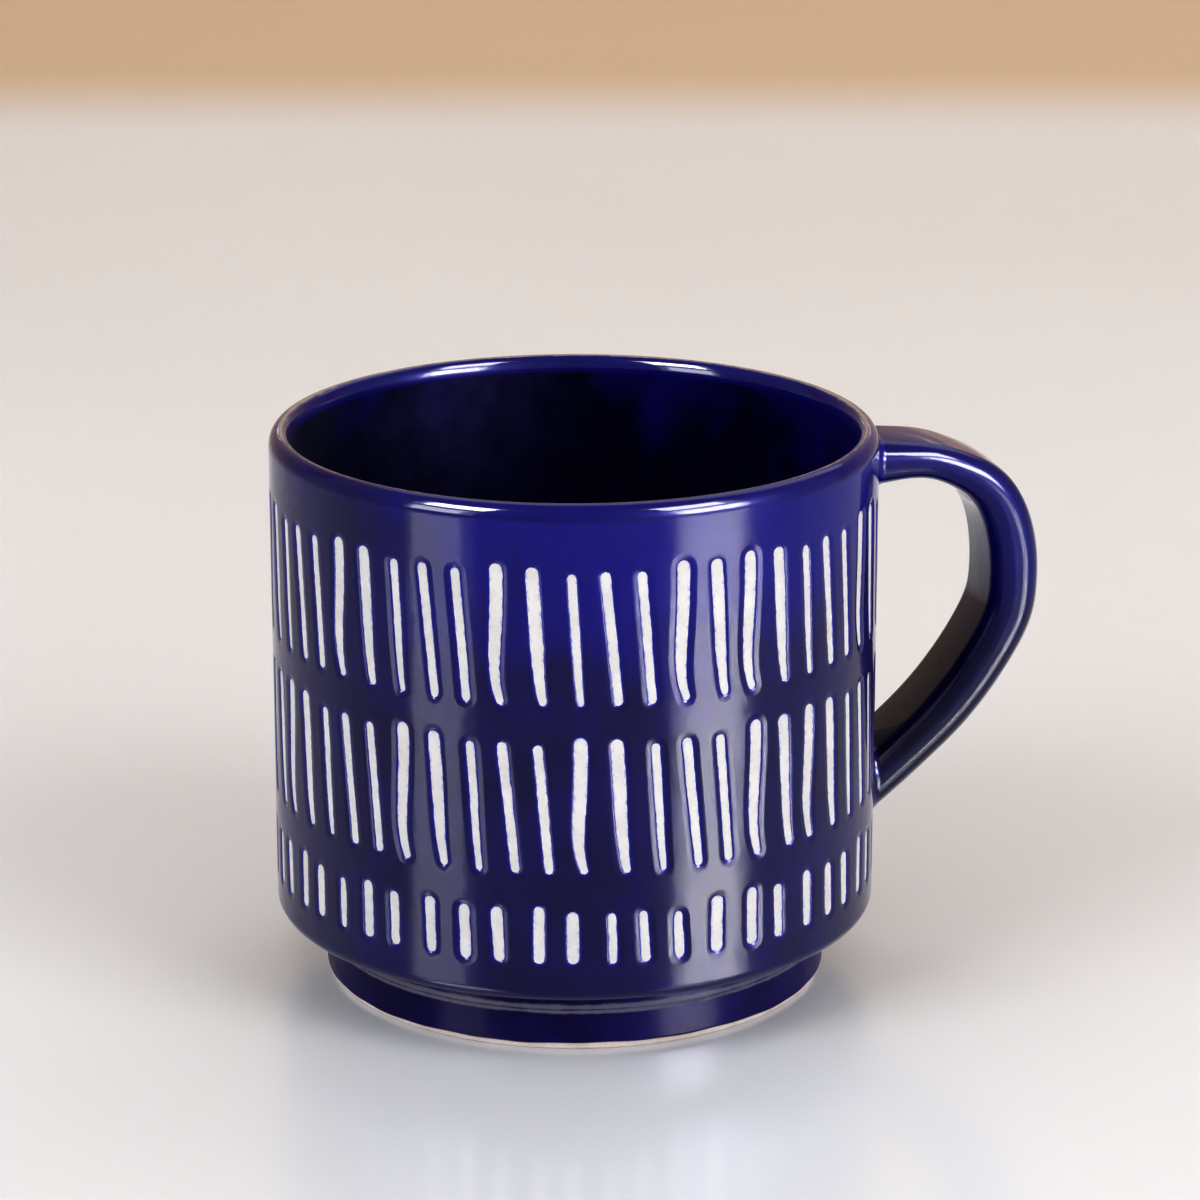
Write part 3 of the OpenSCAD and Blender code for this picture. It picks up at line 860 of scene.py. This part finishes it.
def section(thick, half, inset):
    """The strap's rounded section: points and outward normals, across its thickness and across its width."""
    t, w = thick / 2 - inset, half - inset
    r = min(STRAP_EDGE, 0.92 * t)
    corners = []
    for x, y, start in ((1, 1, 0), (-1, 1, 90), (-1, -1, 180), (1, -1, 270)):
        turn = np.radians(np.linspace(start, start + 90, SECTION_STEPS + 1))
        facing = np.stack([np.cos(turn), np.sin(turn)], 1)
        corners.append(([x * (t - r), y * (w - r)] + r * facing, facing))
    points, normals = [], []
    f = (np.arange(1, SECTION_STEPS) / SECTION_STEPS)[:, None]
    for (corner, facing), (following, _) in zip(corners, corners[1:] + corners[:1]):
        # each corner, and the straight side from there to the next one
        points += [corner, corner[-1] * (1 - f) + following[0] * f]
        normals += [facing, np.repeat(facing[-1:], SECTION_STEPS - 1, 0)]
    points, normals = np.concatenate(points), np.concatenate(normals)
    flatness = normals[:, 0] ** 2
    points[:, 0] += np.sign(points[:, 0]) * CROWN * (1 - (points[:, 1] / w) ** 2) * flatness
    normals[:, 1] += 2 * CROWN * points[:, 1] / w ** 2 * flatness * np.abs(points[:, 0] / t)
    return points, normals / np.linalg.norm(normals, axis=1, keepdims=True)


def strap_lines(inset):
    """The strap's surface as rings of points and normals, before it is cut off at the wall."""
    course = spline(COURSE, COURSE_STEPS)
    course = np.stack([smoothed(course[:, i], ROUNDS) for i in range(4)], 1)
    tangent = np.gradient(course[:, :2], axis=0)
    tangent /= np.linalg.norm(tangent, axis=1, keepdims=True)
    across = np.stack([-tangent[:, 1], tangent[:, 0]], 1)     # out of the handle's loop
    rings, normals = [], []
    for (x, z, thick, half), (ax, az) in zip(course, across):
        pts, nrm = section(thick, half, inset)
        rings.append(np.stack([x + pts[:, 0] * ax, pts[:, 1], z + pts[:, 0] * az], 1))
        normals.append(np.stack([nrm[:, 0] * ax, nrm[:, 1], nrm[:, 0] * az], 1))
    return np.array(rings), np.array(normals)


def radial(p):
    """The points' distances from the axis."""
    return np.hypot(p[..., 0], p[..., 1])


def outward(p):
    """Level unit vectors from the axis towards the points."""
    away = p * [1, 1, 0]
    return away / np.linalg.norm(away, axis=1, keepdims=True)


def at_radius(p, level):
    """The points moved level to a given distance from the axis."""
    moved = p.copy()
    moved[:, :2] *= (level / radial(p))[:, None]
    return moved


def cut_at(rings, normals, level, end):
    """Where each line along the strap comes out of the cylinder of radius level, at one of its ends."""
    found, found_n = [], []
    for k in range(rings.shape[1]):
        p, n = rings[::end, k], normals[::end, k]
        r = radial(p)
        i = int(np.argmax(r > level))
        t = (level - r[i - 1]) / (r[i] - r[i - 1])
        found.append(p[i - 1] * (1 - t) + p[i] * t)
        found_n.append(n[i - 1] * (1 - t) + n[i] * t)
    return np.array(found), np.array(found_n)


def strap(name, inset, materials, nodes, shell=0.0):
    """The strap from wall to wall, its surface set in by inset: solid, or a shell of the given thickness."""
    build = Build()

    def skin(depth, side):
        rings, normals = strap_lines(depth)
        body = radial(rings).min(1) > ROOT_R + 1
        (top, top_n), (low, low_n) = (cut_at(rings, normals, ROOT_R, end) for end in (UPPER, LOWER))
        rows, facing = [top, *rings[body], low], [top_n, *normals[body], low_n]
        ids = [build.add(row) for row in rows]
        for a, b, na, nb in zip(ids[:-1], ids[1:], facing[:-1], facing[1:]):
            build.strip(a, b, side * na, side * nb)
        return (ids[0], top), (ids[-1], low)

    roots = skin(inset, 1)
    if shell:
        for (outer, row), (inner, _) in zip(roots, skin(inset + shell, -1)):
            build.strip(outer, inner, -row * [1, 1, 0], -row * [1, 1, 0])
    else:
        for ids, row in roots:
            inward = np.tile([-1.0, 0, 0], (len(ids) + 1, 1))
            build.fan(build.add(row.mean(0))[0], np.append(ids, ids[0]), inward, inward)
    return to_object(build, name, materials, nodes)


COLLAR = 1.6                    # how far the slip climbs the strap and spreads over the wall
COLLAR_STEPS = 8
BURIED = 0.02                   # how far its outer edge lies below the wall's surface


def collar(name, end, node):
    """Slip worked round a root: hollow in section, meeting the strap and the wall smoothly."""
    build = Build()
    rings, normals = strap_lines(0.0)
    rows, facing = [], []
    for a in np.radians(np.linspace(0, 90, COLLAR_STEPS + 1)):
        level = WALL_R + COLLAR * (1 - math.sin(a))
        p, n = cut_at(rings, normals, level, end)
        away = outward(p)
        along = n - away * (n * away).sum(1, keepdims=True)      # the strap's normal, laid along the wall
        along /= np.linalg.norm(along, axis=1, keepdims=True)
        rows.append(at_radius(p + along * COLLAR * (1 - math.cos(a)), level))
        n = n * math.cos(a) + outward(rows[-1]) * math.sin(a)
        facing.append(n / np.linalg.norm(n, axis=1, keepdims=True))
    rows[-1] = at_radius(rows[-1], WALL_R - BURIED)
    ids = [build.add(row) for row in rows]
    for a, b, na, nb in zip(ids[:-1], ids[1:], facing[:-1], facing[1:]):
        build.strip(a, b, na, nb)
    # closed below the wall's surface
    under, under_n = cut_at(rings, normals, ROOT_R, end)
    base = at_radius(rows[-1], ROOT_R)
    base_id, under_id = build.add(base), build.add(under)
    out = base * [1, 1, 0]
    build.strip(ids[-1], base_id, out, out)
    build.strip(base_id, under_id, -out, -out)
    build.strip(under_id, ids[0], -under_n, -under_n)
    return to_object(build, name, [COBALT], [node])


strap("strap_glaze", 0.0, [HANDLE_SHADED], ["handle_glaze"], shell=GLAZE_T)
strap("strap_clay", GLAZE_T, [CLAY], ["handle"])
collar("upper_root", UPPER, "upper_handle_joint")
collar("lower_root", LOWER, "lower_handle_joint")

# ---------------------------------------------------------------- floor, light, camera

# Everything from here on is in metres, and turned with the camera.
VIEW = math.radians(-14)        # how far the camera is turned about the vertical
FLOOR_FRONT, FLOOR_BACK = -3.0, 1.3    # where the table ends in front and begins to sweep up behind
FLOOR_HALF = 4.0                # half its width
SWEEP = 0.5                     # radius of the sweep
SWEEP_STEPS = 12
BACK_TOP = 2.5                  # height of the wall behind
WARM_FROM, WARM_TO = 0.63, 0.75    # how far behind the mug the pale table turns into the warm wall


def stage_floor():
    """A pale table, swept up into a plain warm wall far behind."""
    rows = [(FLOOR_FRONT, 0.0), (FLOOR_BACK, 0.0)]
    for a in np.radians(np.linspace(0, 90, SWEEP_STEPS + 1)[1:]):
        rows.append((FLOOR_BACK + SWEEP * math.sin(a), SWEEP * (1 - math.cos(a))))
    rows.append((FLOOR_BACK + SWEEP, BACK_TOP))
    across, along = Vector((math.cos(VIEW), math.sin(VIEW), 0)), Vector((-math.sin(VIEW), math.cos(VIEW), 0))
    up = Vector((0, 0, 1))
    verts = [across * side + along * away + up * z for away, z in rows for side in (-FLOOR_HALF, FLOOR_HALF)]
    faces = [(2 * i, 2 * i + 1, 2 * i + 3, 2 * i + 2) for i in range(len(rows) - 1)]
    mesh = bpy.data.meshes.new("stage_floor")
    mesh.from_pydata(verts, [], faces)
    mesh.shade_smooth()
    floor = bpy.data.objects.new("stage_floor", mesh)
    bpy.context.scene.collection.objects.link(floor)
    m, tree, shader = material("pale_table")
    table = mix(tree, drift(tree, 3, 0, 1, 2), (0.755, 0.765, 0.785), (0.78, 0.79, 0.81))
    far = ramp(tree, place(tree, -VIEW)["Y"], WARM_FROM, WARM_TO)
    tree.links.new(mix(tree, far, table, (0.62, 0.46, 0.31)), shader.inputs["Base Color"])
    shader.inputs["Roughness"].default_value = 0.18
    shader.inputs["IOR"].default_value = 1.8
    mesh.materials.append(m)


MUG_MIDDLE = Vector((0, 0, 0.04))


def window(name, azimuth, elevation, distance, width, height, power, colour, shine=False):
    """A soft panel of light that faces the mug, or only its shine. The azimuth is counted from the camera's
    side towards its right, the power is in watts."""
    data = bpy.data.lights.new(name, "AREA")
    data.shape = "RECTANGLE"
    data.size, data.size_y = width, height
    data.energy = power
    data.color = colour
    obj = bpy.data.objects.new(name, data)
    bpy.context.scene.collection.objects.link(obj)
    a, e = math.radians(azimuth) + VIEW, math.radians(elevation)
    at = Vector((math.sin(a) * math.cos(e), -math.cos(a) * math.cos(e), math.sin(e))) * distance
    obj.location = at
    obj.visible_diffuse = not shine
    obj.rotation_euler = (MUG_MIDDLE - at).to_track_quat("-Z", "Y").to_euler()


stage_floor()
WARM, COOL = (1.0, 0.985, 0.97), (0.98, 0.985, 1.0)
window("window_right", 52, 17, 1.6, 0.75, 0.60, 6, WARM)
window("window_right_top", 52, 42, 1.6, 0.75, 0.70, 8, WARM)
window("window_left", -50, 17, 1.6, 0.75, 0.60, 5, COOL)
window("window_left_top", -50, 42, 1.6, 0.75, 0.70, 8, COOL)
window("shine_right", 52, 17, 1.6, 0.70, 0.45, 520, WARM, shine=True)
window("shine_left", -51, 17, 1.6, 0.55, 0.45, 13, COOL, shine=True)
window("shine_top_right", 50, 42, 1.6, 0.60, 0.50, 30, WARM, shine=True)
window("shine_top_left", -48, 42, 1.6, 0.60, 0.50, 60, COOL, shine=True)
window("sky_behind", 165, 50, 2.2, 2.2, 1.4, 15, (0.98, 0.99, 1.0))

world = bpy.data.worlds.new("studio")
bpy.context.scene.world = world
world.use_nodes = True
background = world.node_tree.nodes["Background"]
background.inputs["Color"].default_value = (0.78, 0.785, 0.80, 1)
background.inputs["Strength"].default_value = 0.74

# the camera that was fitted to the photograph
camera_data = bpy.data.cameras.new("camera")
camera_data.sensor_width = 36
camera_data.lens = 134.94
camera = bpy.data.objects.new("camera", camera_data)
camera.location = (-0.1481, -0.6095, 0.2466)
camera.rotation_euler = (math.radians(73.06), 0, VIEW)
bpy.context.scene.collection.objects.link(camera)
bpy.context.scene.camera = camera
bpy.context.scene.view_settings.view_transform = "Standard"
bpy.context.scene.view_settings.gamma = 0.75
bpy.context.scene.cycles.caustics_reflective = False
